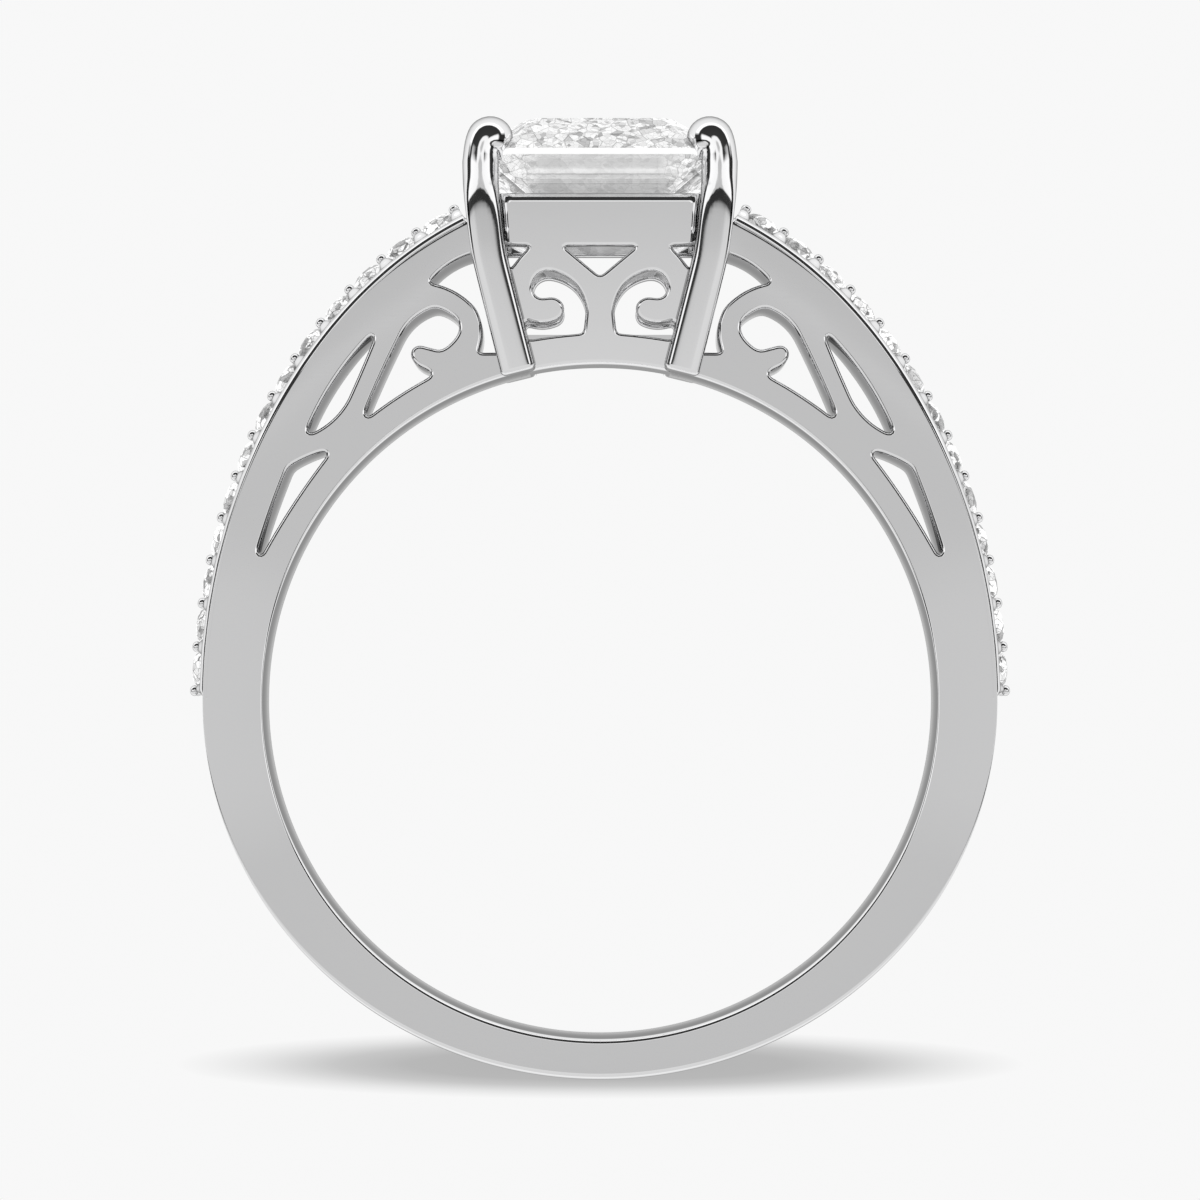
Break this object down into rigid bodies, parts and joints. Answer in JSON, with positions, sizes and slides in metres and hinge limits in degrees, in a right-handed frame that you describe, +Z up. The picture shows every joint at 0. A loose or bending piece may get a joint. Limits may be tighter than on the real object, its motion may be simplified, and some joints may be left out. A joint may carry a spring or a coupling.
{
  "type": "finger ring",
  "caption": "White gold finger ring with a step-cut stone across a pierced four-claw head, pierced scroll shoulders and a row of small stones along each shoulder.",
  "frame": {"origin": "bottom centre of the bounding box of the ring as it lies on its side", "axes": "+Y from the bottom of the band to the head, +Z upwards from the surface that it lies on, +X to the right"},
  "size_m": [0.0212, 0.0248, 0.0047],
  "materials": {
    "white_gold": "mirror polished",
    "diamond": "polished facets"
  },
  "bodies": {
    "root": {"ring_body": "white_gold", "centre_stone": "diamond", "row_stone_left_01": "diamond", "row_stone_left_02": "diamond", "row_stone_left_03": "diamond", "row_stone_left_04": "diamond", "row_stone_left_05": "diamond", "row_stone_left_06": "diamond", "row_stone_left_07": "diamond", "row_stone_left_08": "diamond", "row_stone_left_09": "diamond", "row_stone_left_10": "diamond", "row_stone_left_11": "diamond", "row_stone_left_12": "diamond", "row_stone_left_13": "diamond", "row_stone_right_01": "diamond", "row_stone_right_02": "diamond", "row_stone_right_03": "diamond", "row_stone_right_04": "diamond", "row_stone_right_05": "diamond", "row_stone_right_06": "diamond", "row_stone_right_07": "diamond", "row_stone_right_08": "diamond", "row_stone_right_09": "diamond", "row_stone_right_10": "diamond", "row_stone_right_11": "diamond", "row_stone_right_12": "diamond", "row_stone_right_13": "diamond"}
  },
  "joints": []
}
